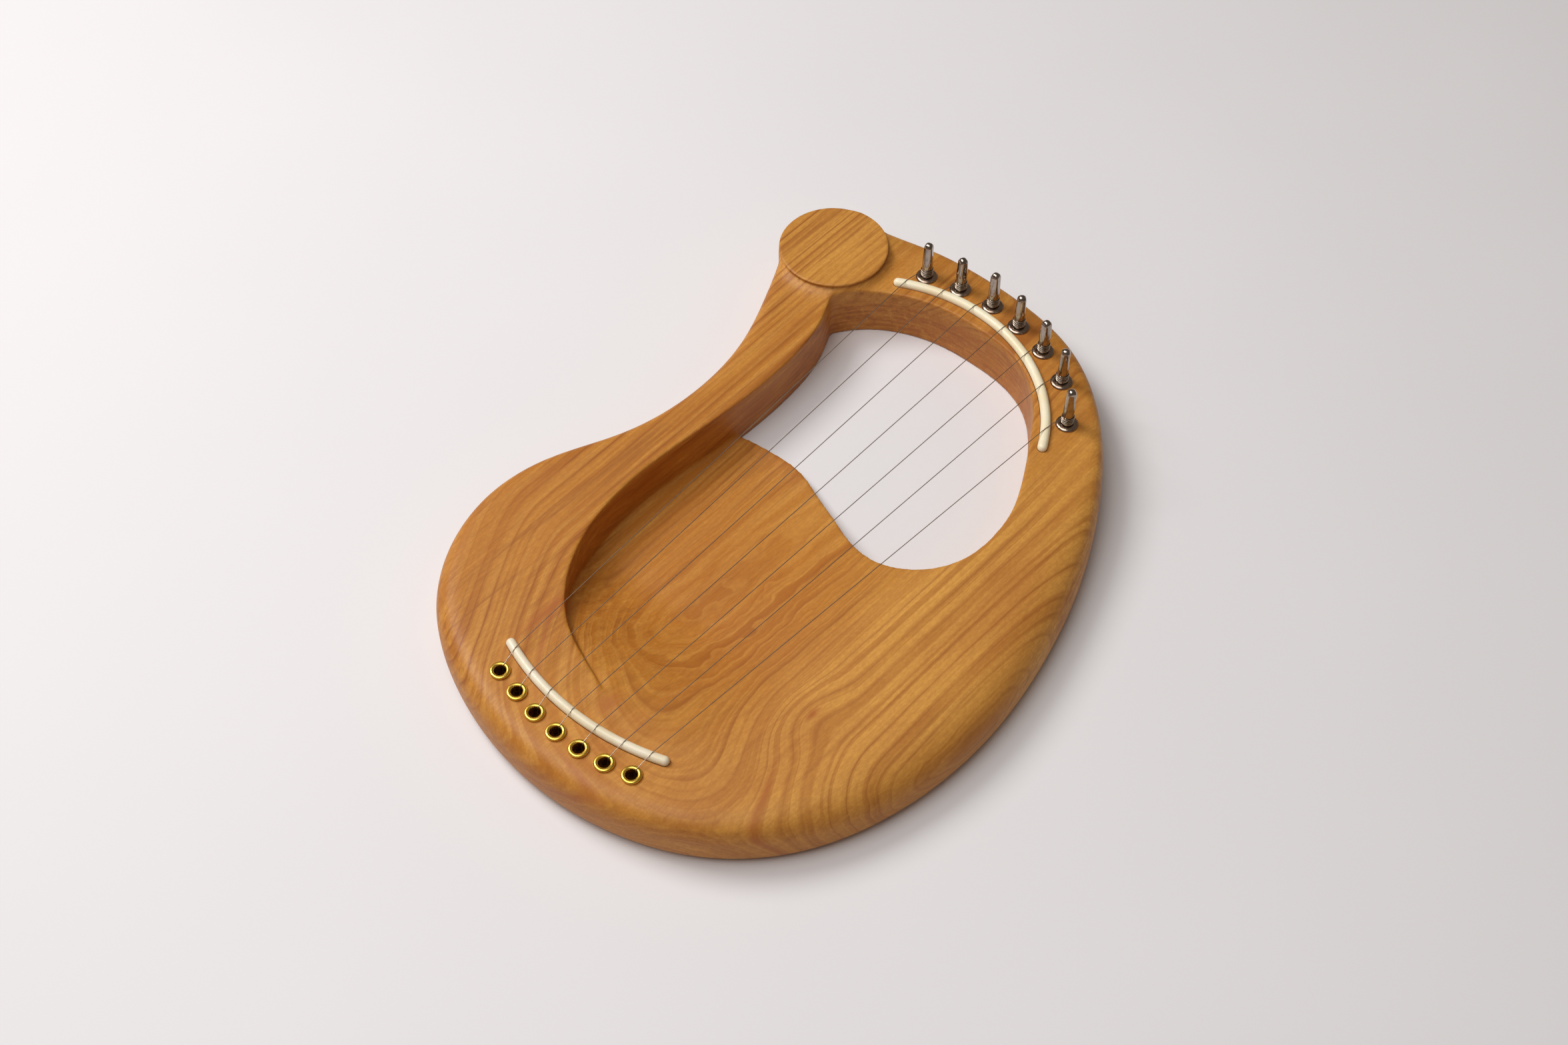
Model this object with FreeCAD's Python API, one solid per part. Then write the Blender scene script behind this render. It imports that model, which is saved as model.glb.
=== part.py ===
"""Seven-string child's lyre, carved from one block of wood and lying on its back.

X runs across the strings, Y along the middle string towards the tuning pins, Z out of the face.
The origin is the bottom centre of the instrument's box. Lengths are in millimetres.
"""

import FreeCAD, Part
import math
import os

from FreeCAD import Vector

os.makedirs("parts", exist_ok=True)

# ---- Driving dimensions ----

SLAB = 26.0  # thickness of the carved block, and height of the face
BACK_ROUNDING = 8.0  # rounding between the sides and the back

# The widest line of the sides, from the head down the pillar, round the belly and over the arch.
OUTLINE = [
    (-112, 106), (-101.5, 83), (-91.5, 57), (-87, 20), (-94, -18), (-108, -50), (-113, -78),
    (-107, -108), (-88, -135), (-55, -154), (-15, -163), (30, -159.5), (70, -142), (98, -113),
    (115, -72), (120, -28), (115.5, 13), (104, 55), (84, 97), (56, 133), (24, 154.5),
    (-14, 162.5), (-42, 163), (-62, 160.5), (-80, 154), (-98, 143), (-112, 125),
]
EDGE_WIDTH = 7.0  # how far in the front rounding reaches on the pillar and the arch
EDGE_DEPTH = 7.0  # how far down it reaches there
FOOT_EXTRA = 4.0  # added to both at the lower end
BELLY_EXTRA_WIDTH = 20.0  # added on the right side, which falls away in a broad curve
BELLY_EXTRA_DEPTH = 9.0

HEAD = (-94.1, 125.2)  # centre of the round head
HEAD_RADIUS = 25.9
HEAD_RISE = 5.2  # how far the head stands above the face
HEAD_EDGE = 0.5  # bevel round the top of the head

# Inner side of the pillar: a vertical wall that runs down to where the hollow fades out.
PILLAR_WALL = [
    (-84, 124), (-76.7, 103.5), (-70.3, 89), (-65, 60), (-65.5, 20), (-69.5, -20), (-68, -55),
    (-57, -86), (-37.5, -106.8), (-18, -115.6), (-2.5, -121), (10, -126), (24, -133),
]
# Edge of the opening: under the arch, down the right side, then the S-shaped soundboard edge.
# Both ends lie inside the pillar, where its wall cuts them off.
OPENING_EDGE = [
    (-85, 91), (-76, 104.5), (-70.5, 112), (-64, 118.5), (-56, 124), (-45, 129), (-33, 132),
    (-12, 133), (6, 131),
    (22, 124), (36, 110), (46, 94.5), (56, 76.5), (63, 60), (65.5, 42), (62.7, 24), (54, 12),
    (42, 5.3), (30, 4.2), (18, 7.2), (0, 15.6), (-15, 22.3), (-24, 26.3), (-34, 28.7),
    (-44, 28.8), (-61, 26.8), (-96, 22),
]

CORNER_RADIUS = 4.0  # where the arch meets the pillar
CORNER_Y = 90.0  # that corner lies past this

# The hollow is deepest beside the pillar and rises to the face on the right and at the lower end.
HOLLOW_DEPTH = 22.0
HOLLOW_RIM = 0.3  # the floor's surface goes on rising this far above the face
HOLLOW_RIGHT, HOLLOW_LEFT = 75.0, -45.0  # the floor rises across this stretch of X
HOLLOW_FOOT, HOLLOW_FULL = -126.0, -63.0  # and along this stretch of Y
HOLLOW_LIFT = 4.0  # extra rise past the soundboard's edge
LIFT_START, LIFT_END = 10.0, 70.0
FLOOR_X = (-88.0, 104.0)
FLOOR_Y = (-152.0, 33.0)

# The two bent rods that carry the strings: diameter, centre and radius of the arc, end angles.
BRIDGE = (4.2, (-5.7, -13.5), 123.5, (250.8, 291.0))
NUT = (4.5, (-20.0, 60.2), 80.2, (26.3, 118.9))
ROD_PROUD = 2.9  # how far both stand above the face
GROOVE_GAP = 0.25  # round each rod in its groove

STRING = 0.42
STRING_CLEARANCE = 0.06  # between a string and the rods
EYELETS = [(-40.1, -142.3), (-27.8, -144.8), (-15.4, -146.9), (-2.8, -147.7), (9.4, -147.1),
           (21.5, -145.0), (33.2, -141.8)]
PINS = [(-51.7, 142.7), (-34.7, 146.7), (-16.9, 148.2), (-0.1, 145.9), (17.5, 141.3),
        (34.9, 132.2), (51.6, 114.0)]
PIN_RISE = [21.5, 20.25, 21.5, 20.25, 20.0, 21.25, 22.5]  # heights above the face
PIN_TURN = [20, 65, 5, 40, 75, 30, 50]  # how far each square head is turned, in degrees
BRIDGE_CROSSING_X = [-42.2, -29.3, -17.1, -4.15, 8.7, 21.6, 33.35]
NUT_CROSSING_X = [-55.4, -38.6, -21.8, -3.6, 14.1, 30.7, 47.5]

PIN = 5.0  # shaft diameter
PIN_LENGTH = 40.0
PIN_RUNNING_GAP = 0.05  # radial, in the ferrule
PIN_GRIP_GAP = 0.06  # radial, in the wood
HEAD_START = 9.0  # where the square part begins, above the face
SQUARE_LOW, SQUARE_HIGH = 4.5, 4.0  # across the flats
FERRULE_BARREL, FERRULE_FLANGE, FERRULE_DEPTH, FERRULE_DOME = 7.0, 10.2, 8.0, 1.3
WINDING_BASE, TURN_PITCH, TURNS = 2.0, 0.9, 5
EYELET_BORE, EYELET_BARREL, EYELET_DEPTH = 4.8, 5.8, 7.0
LIP_HALF_WIDTH, LIP_HALF_HEIGHT = 0.95, 0.7  # oval section of the eyelet's rolled lip
STRING_PASSAGE = 2.0
BALL_POCKET, BALL_POCKET_DEPTH = 6.0, 6.0
BALL, BALL_LENGTH, BALL_WAIST, BALL_HOLE = 4.0, 3.4, 2.6, 1.2
BALL_CLEARANCE = 0.05
BALL_AXIS = BALL_POCKET_DEPTH - BALL / 2.0 - 2 * BALL_CLEARANCE  # height of the spool's own axis
STRING_BEND = 1.0  # the string leaves the middle of its hole this far below the eyelet
LIP_CLEARANCE = 0.17  # between the string and the eyelet's lip
STRING_STOP = 4.5  # it ends this far short of its pin, beside the winding's lower turns

SEAT_GAP = 0.4  # left under a pin, a ferrule and an eyelet in the wood

TALL = 90.0  # longer than anything here, for cutting tools
PAST_RIGHT, PAST_ARCH = 130.0, 170.0  # clear of the outline


# ---- Small helpers ----

def ramp(value, start, end):
    """0 before start, 1 after end, and a smooth rise between."""
    t = min(1.0, max(0.0, (value - start) / (end - start)))
    return t * t * (3.0 - 2.0 * t)


def at(point, z):
    return Vector(point[0], point[1], z)


def curve(points, z=0.0, closed=False):
    spline = Part.BSplineCurve()
    spline.interpolate(Points=[at(p, z) for p in points], PeriodicFlag=closed)
    return spline


def cylinder(point, low, high, diameter):
    return Part.makeCylinder(diameter / 2.0, high - low, at(point, low))


def turned(profile, point):
    """The solid that a closed profile of (radius, z) corners makes when turned about a vertical."""
    corners = [Vector(point[0] + r, point[1], z) for r, z in profile]
    face = Part.Face(Part.makePolygon(corners + corners[:1]))
    return face.revolve(at(point, 0), Vector(0, 0, 1), 360)


def save(name, shape):
    shape.exportStep("parts/" + name + ".step")
    print(name, "solids", len(shape.Solids), "valid", shape.isValid(), "volume", round(shape.Volume, 1))


# ---- The carved body ----

def edge_size(x, y):
    """Width and depth of the front rounding at a point of the outline."""
    belly = ramp(x, 40, 112) * ramp(y, -165, -70) * (1.0 - ramp(y, 40, 125))
    foot = 1.0 - ramp(y, -140, -60)
    width = EDGE_WIDTH + FOOT_EXTRA * foot + BELLY_EXTRA_WIDTH * belly
    depth = EDGE_DEPTH + FOOT_EXTRA * foot + BELLY_EXTRA_DEPTH * belly
    return width, depth


def blank():
    """The block with its rounded sides: one smooth surface round the outline, closed flat."""
    outline = curve(OUTLINE, closed=True)
    knots = outline.getKnots()[:-1]
    stations = []
    for knot in knots:
        point = outline.value(knot)
        along = outline.tangent(knot)[0]
        inward = Vector(-along.y, along.x, 0)
        stations.append((point, inward, edge_size(point.x, point.y)))

    def ring(inset_back, inset_front, z_of):
        points = []
        for point, inward, (width, depth) in stations:
            inset = BACK_ROUNDING * inset_back + width * inset_front
            points.append(point + inward * inset + Vector(0, 0, z_of(depth)))
        spline = Part.BSplineCurve()
        spline.interpolate(Points=points, PeriodicFlag=True, Parameters=outline.getKnots())
        return spline

    middle = (BACK_ROUNDING + SLAB - EDGE_DEPTH) / 2.0
    rings = [
        ring(1.0, 0, lambda depth: 0.0),
        ring(0.4, 0, lambda depth: 0.0),
        ring(0, 0, lambda depth: 0.5 * BACK_ROUNDING),
        ring(0, 0, lambda depth: min(middle, SLAB - depth)),
        ring(0, 0, lambda depth: SLAB - 0.5 * depth),
        ring(0, 0.4, lambda depth: SLAB),
        ring(0, 1.0, lambda depth: SLAB),
    ]
    columns = [list(column) for column in zip(*[r.getPoles() for r in rings])]
    side = Part.BSplineSurface()
    side.buildFromPolesMultsKnots(
        columns, rings[0].getMultiplicities(), [4, 1, 1, 1, 4], rings[0].getKnots(),
        [0, 1, 2, 3, 4], True, False, 3, 3)
    side = side.toShape()
    back = Part.Face(Part.Wire(rings[0].toShape()))
    front = Part.Face(Part.Wire(rings[-1].toShape()))
    shell = Part.Shell([side, back, front])
    shell.sewShape()
    return Part.Solid(Part.Shell(shell.Faces))


def head():
    """The round head, which goes through the block's full height and stands above the face."""
    r = HEAD_RADIUS
    top = SLAB + HEAD_RISE
    round_back = [
        (r - BACK_ROUNDING * (1 - math.sin(math.radians(a))), BACK_ROUNDING * (1 - math.cos(math.radians(a))))
        for a in range(0, 91, 10)
    ]
    profile = [(0, 0)] + round_back + [(r, top - HEAD_EDGE), (r - HEAD_EDGE, top), (0, top)]
    return turned(profile, HEAD)


def floor_height(x, y):
    across = ramp(HOLLOW_RIGHT - x, 0, HOLLOW_RIGHT - HOLLOW_LEFT)
    along = ramp(y, HOLLOW_FOOT, HOLLOW_FULL)
    lift = HOLLOW_LIFT * ramp(y, LIFT_START, LIFT_END)
    return SLAB + HOLLOW_RIM + lift - (HOLLOW_DEPTH + HOLLOW_RIM) * across * along


def above_floor():
    """Everything above the hollow's floor."""
    columns, rows = 22, 22
    grid = []
    for i in range(columns):
        x = FLOOR_X[0] + (FLOOR_X[1] - FLOOR_X[0]) * i / (columns - 1)
        line = []
        for j in range(rows):
            y = FLOOR_Y[0] + (FLOOR_Y[1] - FLOOR_Y[0]) * j / (rows - 1)
            line.append(Vector(x, y, floor_height(x, y)))
        grid.append(line)
    surface = Part.BSplineSurface()
    surface.interpolate(grid)
    return surface.toShape().extrude(Vector(0, 0, TALL))


def prism(edges, low=-5.0):
    face = Part.Face(Part.Wire(edges))
    face.translate(Vector(0, 0, low))
    return face.extrude(Vector(0, 0, TALL))


def cavity():
    """The opening and the hollow together, both kept to the right of the pillar's wall."""
    edge = curve(OPENING_EDGE)
    first, last = at(OPENING_EDGE[0], 0), at(OPENING_EDGE[-1], 0)
    opening = prism([edge.toShape(), Part.makeLine(last, first)])
    wall = curve(PILLAR_WALL)
    foot, top = at(PILLAR_WALL[-1], 0), at(PILLAR_WALL[0], 0)
    far = [foot, Vector(PAST_RIGHT, foot.y, 0), Vector(PAST_RIGHT, PAST_ARCH, 0),
           Vector(top.x, PAST_ARCH, 0), top]
    beside = [Part.makeLine(a, b) for a, b in zip(far, far[1:])]
    right_of_wall = prism([wall.toShape()] + beside)
    opening = opening.common(right_of_wall)
    corner = [e for e in opening.Edges if e.Length > 0.9 * TALL and e.CenterOfMass.y > CORNER_Y]
    opening = opening.makeFillet(CORNER_RADIUS, corner)
    return opening.fuse(above_floor().common(right_of_wall))


def arc_point(centre, radius, degrees, z=0.0):
    a = math.radians(degrees)
    return Vector(centre[0] + radius * math.cos(a), centre[1] + radius * math.sin(a), z)


def bent_rod(rod, gap=0.0):
    """A round rod bent to an arc, with a half ball at each end, or its groove when given a gap."""
    diameter, centre, radius, angles = rod
    thickness = diameter / 2.0 + gap
    z = SLAB + ROD_PROUD - diameter / 2.0
    start, end = (arc_point(centre, radius, a, z) for a in angles)
    section = Part.Face(Part.Wire(Part.makeCircle(
        thickness, start, (start - at(centre, z)).cross(Vector(0, 0, 1)))))
    bent = section.revolve(at(centre, z), Vector(0, 0, 1), angles[1] - angles[0])
    for point in (start, end):
        bent = bent.fuse(Part.makeSphere(thickness, point))
    return bent.removeSplitter()


def body():
    wood = blank().fuse(head()).removeSplitter()
    wood = wood.cut(cavity())
    wood = wood.cut(bent_rod(BRIDGE, GROOVE_GAP))
    wood = wood.cut(bent_rod(NUT, GROOVE_GAP))
    for place, rise in zip(PINS, PIN_RISE):
        bottom = SLAB + rise - PIN_LENGTH - SEAT_GAP
        wood = wood.cut(cylinder(place, bottom, TALL, PIN + 2 * PIN_GRIP_GAP))
        wood = wood.cut(cylinder(place, SLAB - FERRULE_DEPTH - SEAT_GAP, TALL, FERRULE_BARREL))
    for place in EYELETS:
        wood = wood.cut(cylinder(place, -1, TALL, STRING_PASSAGE))
        wood = wood.cut(cylinder(place, SLAB - EYELET_DEPTH - SEAT_GAP, TALL, EYELET_BARREL))
        wood = wood.cut(cylinder(place, -1, BALL_POCKET_DEPTH, BALL_POCKET))
    return wood


# ---- Metalwork and strings ----

def tuning_pin(place, rise, turn):
    top = SLAB + rise
    bottom = top - PIN_LENGTH
    r = PIN / 2.0
    profile = [(0, bottom), (r - 0.6, bottom), (r, bottom + 1.0), (r, SLAB + HEAD_START),
               (r - 0.15, top - 1.6), (r - 0.45, top - 0.7), (r - 1.1, top - 0.15), (0, top)]
    pin = turned(profile, place)
    low, high = SQUARE_LOW / 2.0, SQUARE_HIGH / 2.0
    lean = math.degrees(math.atan2(low - high, rise - HEAD_START))
    for side in range(4):
        flat = Part.makeBox(10, 20, TALL, Vector(0, -10, 0))
        flat.rotate(Vector(0, 0, 0), Vector(0, 1, 0), -lean)
        flat.translate(Vector(low, 0, SLAB + HEAD_START))
        flat.rotate(Vector(0, 0, 0), Vector(0, 0, 1), turn + 90 * side)
        flat.translate(at(place, 0))
        pin = pin.cut(flat)
    return pin


def ferrule(place):
    bore = PIN / 2.0 + PIN_RUNNING_GAP
    barrel, flange = FERRULE_BARREL / 2.0, FERRULE_FLANGE / 2.0
    profile = [(bore, SLAB - FERRULE_DEPTH), (barrel, SLAB - FERRULE_DEPTH), (barrel, SLAB),
               (flange, SLAB), (flange, SLAB + 0.35), (flange - 0.7, SLAB + 0.75),
               (flange - 1.7, SLAB + 1.05), (bore + 0.3, SLAB + FERRULE_DOME),
               (bore, SLAB + FERRULE_DOME - 0.25)]
    return turned(profile, place)


def winding(place):
    """The string's turns round its pin, as one sleeve with a ridge for each turn."""
    r = PIN / 2.0
    base = SLAB + WINDING_BASE
    profile = [(r, base)]
    for turn in range(TURNS):
        low = base + turn * TURN_PITCH
        profile += [(r + 0.3, low), (r + STRING, low + 0.3 * TURN_PITCH),
                    (r + STRING, low + 0.7 * TURN_PITCH)]
    top = base + TURNS * TURN_PITCH
    profile += [(r + 0.3, top), (r, top)]
    return turned(profile, place)


def eyelet(place):
    """A brass tube whose upper end is rolled over into a lip."""
    bore, barrel = EYELET_BORE / 2.0, EYELET_BARREL / 2.0
    crest = bore + LIP_HALF_WIDTH
    low, middle = SLAB - EYELET_DEPTH, SLAB + LIP_HALF_HEIGHT
    oval = Part.Ellipse(Vector(crest + LIP_HALF_WIDTH, 0, middle),
                        Vector(crest, 0, middle + LIP_HALF_HEIGHT), Vector(crest, 0, middle))
    lip = Part.ArcOfEllipse(oval, -math.pi / 2, math.pi).toShape()
    tube = Part.makePolygon([Vector(bore, 0, middle), Vector(bore, 0, low), Vector(barrel, 0, low),
                             Vector(barrel, 0, SLAB), Vector(crest, 0, SLAB)])
    profile = Part.Face(Part.Wire(Part.__sortEdges__([lip] + tube.Edges)))
    ring = profile.revolve(Vector(0, 0, 0), Vector(0, 0, 1), 360)
    ring.translate(at(place, 0))
    return ring


def ball_end(place):
    """The spool on the string's lower end, lying across the pocket in the back."""
    z = BALL_AXIS
    half, r, waist = BALL_LENGTH / 2.0, BALL / 2.0, BALL_WAIST / 2.0
    profile = [(0, -half), (r, -half), (r, -half + 0.6), (waist, -half + 1.1), (waist, half - 1.1),
               (r, half - 0.6), (r, half), (0, half)]
    spool = turned(profile, (0, 0))
    spool.rotate(Vector(0, 0, 0), Vector(0, 1, 0), 90)
    spool.translate(at(place, z))
    hole = Part.makeCylinder(BALL_HOLE / 2.0, 2 * BALL_LENGTH, at(place, z) - Vector(BALL_LENGTH, 0, 0),
                             Vector(1, 0, 0))
    return spool.cut(hole)


def crossing(rod, x):
    """The point at which a string that crosses a rod at this X lies on top of it."""
    centre, radius = rod[1:3]
    side = 1.0 if centre[1] > 0 else -1.0
    y = centre[1] + side * math.sqrt(radius * radius - (x - centre[0]) ** 2)
    return Vector(x, y, SLAB + ROD_PROUD + STRING / 2.0 + STRING_CLEARANCE)


def string_route(number):
    """From the ball end up through the eyelet, over its lip and both rods, down beside the winding."""
    place, pin = EYELETS[number], PINS[number]
    low = crossing(BRIDGE, BRIDGE_CROSSING_X[number])
    high = crossing(NUT, NUT_CROSSING_X[number])
    aim = (low - at(place, 0))
    aim.z = 0
    aim.normalize()
    clear = STRING / 2.0 + LIP_CLEARANCE
    crest = EYELET_BORE / 2.0 + LIP_HALF_WIDTH
    over_lip = []
    for degrees in (180, 135, 90):
        a = math.radians(degrees)
        reach = crest + (LIP_HALF_WIDTH + clear) * math.cos(a)
        height = SLAB + LIP_HALF_HEIGHT + (LIP_HALF_HEIGHT + clear) * math.sin(a)
        over_lip.append(at(place, height) + aim * reach)
    beside = Vector(pin[0] - PIN / 2.0 - STRING, pin[1] - STRING_STOP, SLAB + WINDING_BASE + 2 * STRING)
    return [
        at(place, BALL_AXIS + BALL_WAIST / 2.0 + BALL_CLEARANCE),
        at(place, SLAB - EYELET_DEPTH - STRING_BEND),
        *over_lip,
        low,
        high,
        beside,
    ]


def wire_along(route):
    """A thin round wire along straight runs that meet in mitres."""
    section = Part.makeCircle(STRING / 2.0, route[0], route[1] - route[0])
    return Part.makePolygon(route).makePipeShell([Part.Wire(section)], True, False, 1)


def main():
    save("body", body())
    save("bridge_rod", bent_rod(BRIDGE))
    save("nut_rod", bent_rod(NUT))
    for n, place in enumerate(PINS):
        tag = str(n + 1)
        save("tuning_pin_" + tag, tuning_pin(place, PIN_RISE[n], PIN_TURN[n]))
        save("pin_ferrule_" + tag, ferrule(place))
        save("string_winding_" + tag, winding(place))
        save("eyelet_" + tag, eyelet(EYELETS[n]))
        save("ball_end_" + tag, ball_end(EYELETS[n]))
        save("string_" + tag, wire_along(string_route(n)))


main()
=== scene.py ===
"""Looks of the seven-string lyre: carved wood, wire strings and small metal fittings.

Lengths are in metres, in the frame of the CAD model: X across the strings, Y towards the tuning
pins, Z out of the face.
"""

import math

import bmesh
import bpy
import numpy as np
from mathutils import Matrix, Vector


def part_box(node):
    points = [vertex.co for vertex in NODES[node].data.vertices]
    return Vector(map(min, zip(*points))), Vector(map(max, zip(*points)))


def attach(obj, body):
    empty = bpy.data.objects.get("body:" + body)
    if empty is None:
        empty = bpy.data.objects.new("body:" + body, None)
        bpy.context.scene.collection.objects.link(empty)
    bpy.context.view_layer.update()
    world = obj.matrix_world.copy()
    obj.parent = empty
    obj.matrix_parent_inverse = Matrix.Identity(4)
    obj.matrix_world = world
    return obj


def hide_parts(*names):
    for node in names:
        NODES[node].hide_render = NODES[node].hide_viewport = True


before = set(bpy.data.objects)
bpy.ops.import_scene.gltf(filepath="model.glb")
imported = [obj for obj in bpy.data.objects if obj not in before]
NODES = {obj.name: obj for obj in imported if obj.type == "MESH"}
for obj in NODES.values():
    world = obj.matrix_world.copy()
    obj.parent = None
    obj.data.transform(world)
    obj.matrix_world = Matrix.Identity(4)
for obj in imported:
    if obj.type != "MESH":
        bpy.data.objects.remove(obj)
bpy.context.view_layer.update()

MM = 0.001
STRINGS = range(1, 8)

# ---- Sizes that several pieces share ----

FACE = 26.0 * MM  # height of the wooden face
ROD_TOP = FACE + 2.9 * MM
GROOVE_GAP = 0.25 * MM  # round each rod in its groove
BRIDGE = {"centre": (-5.7 * MM, -13.5 * MM), "arc": 123.5 * MM, "angles": (250.8, 291.0), "radius": 2.1 * MM}
NUT = {"centre": (-20.0 * MM, 60.2 * MM), "arc": 80.2 * MM, "angles": (26.3, 118.9), "radius": 2.25 * MM}
BRIDGE_CROSSING_X = [-42.2, -29.3, -17.1, -4.15, 8.7, 21.6, 33.35]  # millimetres, string by string
NUT_CROSSING_X = [-55.4, -38.6, -21.8, -3.6, 14.1, 30.7, 47.5]
HEAD_CENTRE = Vector((-94.1 * MM, 125.2 * MM, 0))
HEAD_RADIUS = 25.9 * MM
HEAD_RISE = 5.2 * MM

WIRE = 0.18 * MM  # radius of a string
PIN_RADIUS = 2.5 * MM
EYELET_BORE = 2.4 * MM
LIP_EDGE = 4.3 * MM  # outer radius of an eyelet's rolled lip
LIP_TOP = 1.4 * MM  # height of that lip above the face
BALL_AXIS = 3.9 * MM


# ---- Mesh helpers ----

def new_object(name, mesh):
    piece = bpy.data.objects.new(name, mesh)
    bpy.context.scene.collection.objects.link(piece)
    return piece


def mesh_of(name, points, faces):
    mesh = bpy.data.meshes.new(name)
    mesh.from_pydata([tuple(p) for p in points], [], faces)
    mesh.update()
    return mesh


def loft(rings):
    """Points and faces of a closed solid through rings of equally many points, capped at both ends."""
    count = len(rings[0])
    points = [p for ring in rings for p in ring]
    faces = []
    for i in range(len(rings) - 1):
        for j in range(count):
            k = (j + 1) % count
            faces.append((i * count + j, i * count + k, (i + 1) * count + k, (i + 1) * count + j))
    last = (len(rings) - 1) * count
    faces.append(tuple(reversed(range(count))))
    faces.append(tuple(range(last, last + count)))
    return points, faces


def lathe(profile, centre, sides=48):
    """A solid or a ring turned about a vertical through centre; profile is a list of (radius, z)."""
    rings = []
    for radius, z in profile:
        turn = [2 * math.pi * j / sides for j in range(sides)]
        rings.append([(centre[0] + radius * math.cos(a), centre[1] + radius * math.sin(a), z) for a in turn])
    return loft(rings)


def lathe_ring(profile, centre, sides=48):
    """The same for a closed profile that doesn't touch the axis, such as a tube's wall."""
    points, faces = lathe(profile, centre, sides)
    faces = faces[:-2]
    last = (len(profile) - 1) * sides
    for j in range(sides):
        k = (j + 1) % sides
        faces.append((last + j, last + k, k, j))
    return points, faces


def sweep(path, radii, sides=10, closed=False):
    """A round tube along a path, with a radius for each of its points."""
    path = [Vector(p) for p in path]
    count = len(path)
    rings = []
    side = None
    for i, point in enumerate(path):
        before = path[i - 1] if i or closed else point
        after = path[(i + 1) % count] if i + 1 < count or closed else point
        along = (after - before).normalized()
        if side is None:
            side = along.orthogonal().normalized()
        side = (side - along * side.dot(along)).normalized()
        other = along.cross(side)
        ring = []
        for j in range(sides):
            a = 2 * math.pi * j / sides
            ring.append(point + (side * math.cos(a) + other * math.sin(a)) * radii[i])
        rings.append(ring)
    points, faces = loft(rings)
    if closed:
        faces = faces[:-2]
        last = (count - 1) * sides
        start = rings[0][0]
        shift = min(range(sides), key=lambda j: (rings[-1][j] - start).length)
        for j in range(sides):
            k = (j + 1) % sides
            a, b = (shift + j) % sides, (shift + k) % sides
            faces.append((last + a, last + b, k, j))
    return points, faces


def joined(name, solids):
    """One mesh from several (points, faces) pairs."""
    points, faces = [], []
    for some_points, some_faces in solids:
        start = len(points)
        points += some_points
        faces += [tuple(start + i for i in face) for face in some_faces]
    mesh = mesh_of(name, points, faces)
    work = bmesh.new()
    work.from_mesh(mesh)
    bmesh.ops.recalc_face_normals(work, faces=work.faces)
    work.to_mesh(mesh)
    work.free()
    return mesh


def smooth(mesh, angle=40.0):
    for polygon in mesh.polygons:
        polygon.use_smooth = True
    mesh.set_sharp_from_angle(angle=math.radians(angle))


def step(value, start, end):
    """0 before start, 1 after end, smooth between; works on arrays."""
    t = np.clip((value - start) / (end - start), 0.0, 1.0)
    return t * t * (3.0 - 2.0 * t)


def arc_point(rod, degrees, z, extra=0.0):
    a = math.radians(degrees)
    reach = rod["arc"] + extra
    return Vector((rod["centre"][0] + reach * math.cos(a), rod["centre"][1] + reach * math.sin(a), z))


def rod_solid(rod, gap=0.0, sides=24):
    """A round rod bent to an arc, with a half ball at each end, or its groove when given a gap."""
    start, end = rod["angles"]
    radius = rod["radius"] + gap
    height = ROD_TOP - rod["radius"]
    ball = [math.radians(b) for b in (88, 75, 60, 45, 30, 15)]
    path = []
    radii = []
    for b in ball:
        path.append(arc_point(rod, start - math.degrees(radius * math.sin(b) / rod["arc"]), height))
        radii.append(radius * math.cos(b))
    stretches = 60
    for i in range(stretches + 1):
        path.append(arc_point(rod, start + (end - start) * i / stretches, height))
        radii.append(radius)
    for b in reversed(ball):
        path.append(arc_point(rod, end + math.degrees(radius * math.sin(b) / rod["arc"]), height))
        radii.append(radius * math.cos(b))
    return sweep(path, radii, sides)


def centre_of(node):
    low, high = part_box(node)
    return (low + high) / 2


# ---- Materials ----

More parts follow.
